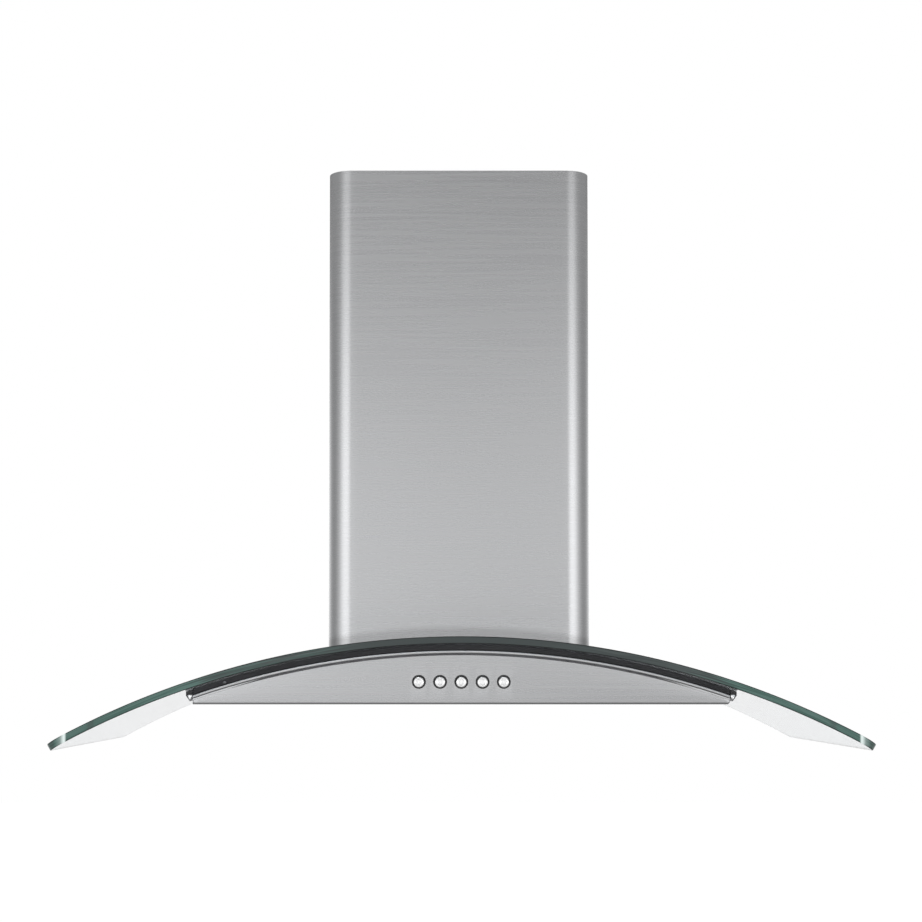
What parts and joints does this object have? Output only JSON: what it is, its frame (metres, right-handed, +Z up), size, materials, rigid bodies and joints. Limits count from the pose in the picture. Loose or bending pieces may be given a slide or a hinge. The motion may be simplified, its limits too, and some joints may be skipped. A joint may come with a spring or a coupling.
{
  "type": "curved glass range hood",
  "caption": "Wall-hung kitchen range hood with a steel telescopic chimney, a curved glass canopy, a bow-shaped front panel with push buttons, grease filters, lamps and a blower.",
  "frame": {"origin": "on the outer face of the body's rear wall, at mid width, 34 mm below the top of the glass", "axes": "+Z up, front towards -Y, wall plane at y = 0, +X to the right as seen from the front"},
  "size_m": [0.9, 0.5, 0.6941],
  "materials": {
    "brushed_steel": "fine horizontal brushed grain, satin",
    "galvanised_steel": "dull zinc-coated sheet",
    "canopy_glass": "clear toughened glass with a green cut edge",
    "black_rubber": "matt black",
    "black_plastic": "fine moulded grain, satin black",
    "chrome": "bright polished",
    "aluminium": "plain mill finish",
    "white_plastic": "plain moulded",
    "lamp_glass": "frosted"
  },
  "bodies": {
    "hood": {"body_shell": "brushed_steel", "body_front": "brushed_steel", "glass_seal": "black_rubber", "glass_canopy": "canopy_glass", "fascia_panel": "brushed_steel", "fascia_trim": "brushed_steel", "groove_strip": "black_rubber", "end_cap_left": "black_plastic", "end_cap_right": "black_plastic", "end_clip_left": "chrome", "end_clip_right": "chrome", "button_bezel_1": "black_plastic", "button_bezel_2": "black_plastic", "button_bezel_3": "black_plastic", "button_bezel_4": "black_plastic", "button_bezel_5": "black_plastic", "switch_block": "white_plastic", "base_plate": "brushed_steel", "lamp_bezel_left": "chrome", "lamp_bezel_right": "chrome", "lamp_lens_left": "lamp_glass", "lamp_lens_right": "lamp_glass", "lamp_can_left": "galvanised_steel", "lamp_can_right": "galvanised_steel", "base_screw_left_front": "chrome", "base_screw_left_rear": "chrome", "base_screw_right_front": "chrome", "base_screw_right_rear": "chrome", "outer_chimney": "brushed_steel", "chimney_bracket": "galvanised_steel", "motor_box": "galvanised_steel", "wall_hanger": "galvanised_steel", "hanger_screw_left": "chrome", "hanger_screw_right": "chrome", "blower_scroll": "galvanised_steel", "inlet_ring_left": "black_plastic", "inlet_ring_right": "black_plastic", "motor_can": "galvanised_steel", "motor_spider": "galvanised_steel", "duct_collar": "galvanised_steel", "flap_rod": "chrome", "mains_box": "black_plastic", "cable_gland": "black_plastic", "run_capacitor": "white_plastic"},
    "chimney_slide": {"inner_chimney": "brushed_steel"},
    "filter_left": {"grease_filter_left": "aluminium"},
    "filter_right": {"grease_filter_right": "aluminium"},
    "catch_left": {"filter_catch_left": "black_plastic"},
    "catch_right": {"filter_catch_right": "black_plastic"},
    "button_1": {"push_button_1": "chrome"},
    "button_2": {"push_button_2": "chrome"},
    "button_3": {"push_button_3": "chrome"},
    "button_4": {"push_button_4": "chrome"},
    "button_5": {"push_button_5": "chrome"},
    "fan": {"impeller": "black_plastic", "motor_shaft": "chrome"},
    "flap_front": {"damper_flap_front": "aluminium"},
    "flap_rear": {"damper_flap_rear": "aluminium"}
  },
  "joints": [
    {"name": "chimney_extend", "type": "slide", "parent": "hood", "child": "chimney_slide", "axis": [0, 0, 1], "range_m": [0, 0.3]},
    {"name": "filter_left_drop", "type": "hinge", "parent": "hood", "child": "filter_left", "pos_m": [-0.1395, -0.043, -0.0374], "axis": [1, 0, 0], "range_deg": [0, 50]},
    {"name": "filter_right_drop", "type": "hinge", "parent": "hood", "child": "filter_right", "pos_m": [0.1395, -0.043, -0.0374], "axis": [1, 0, 0], "range_deg": [0, 50]},
    {"name": "catch_left_slide", "type": "slide", "parent": "filter_left", "child": "catch_left", "axis": [0, 1, 0], "range_m": [0, 0.006], "stiffness_N_per_m": 600},
    {"name": "catch_right_slide", "type": "slide", "parent": "filter_right", "child": "catch_right", "axis": [0, 1, 0], "range_m": [0, 0.006], "stiffness_N_per_m": 600},
    {"name": "button_1_push", "type": "slide", "parent": "hood", "child": "button_1", "axis": [0, 1, 0], "range_m": [0, 0.003], "stiffness_N_per_m": 500},
    {"name": "button_2_push", "type": "slide", "parent": "hood", "child": "button_2", "axis": [0, 1, 0], "range_m": [0, 0.003], "stiffness_N_per_m": 500},
    {"name": "button_3_push", "type": "slide", "parent": "hood", "child": "button_3", "axis": [0, 1, 0], "range_m": [0, 0.003], "stiffness_N_per_m": 500},
    {"name": "button_4_push", "type": "slide", "parent": "hood", "child": "button_4", "axis": [0, 1, 0], "range_m": [0, 0.003], "stiffness_N_per_m": 500},
    {"name": "button_5_push", "type": "slide", "parent": "hood", "child": "button_5", "axis": [0, 1, 0], "range_m": [0, 0.003], "stiffness_N_per_m": 500},
    {"name": "fan_spin", "type": "hinge", "parent": "hood", "child": "fan", "pos_m": [0, -0.12815, 0.146], "axis": [1, 0, 0], "continuous": true},
    {"name": "flap_front_lift", "type": "hinge", "parent": "hood", "child": "flap_front", "pos_m": [0, -0.12815, 0.3293], "axis": [-1, 0, 0], "range_deg": [0, 70]},
    {"name": "flap_rear_lift", "type": "hinge", "parent": "hood", "child": "flap_rear", "pos_m": [0, -0.12815, 0.3293], "axis": [1, 0, 0], "range_deg": [0, 70]}
  ]
}
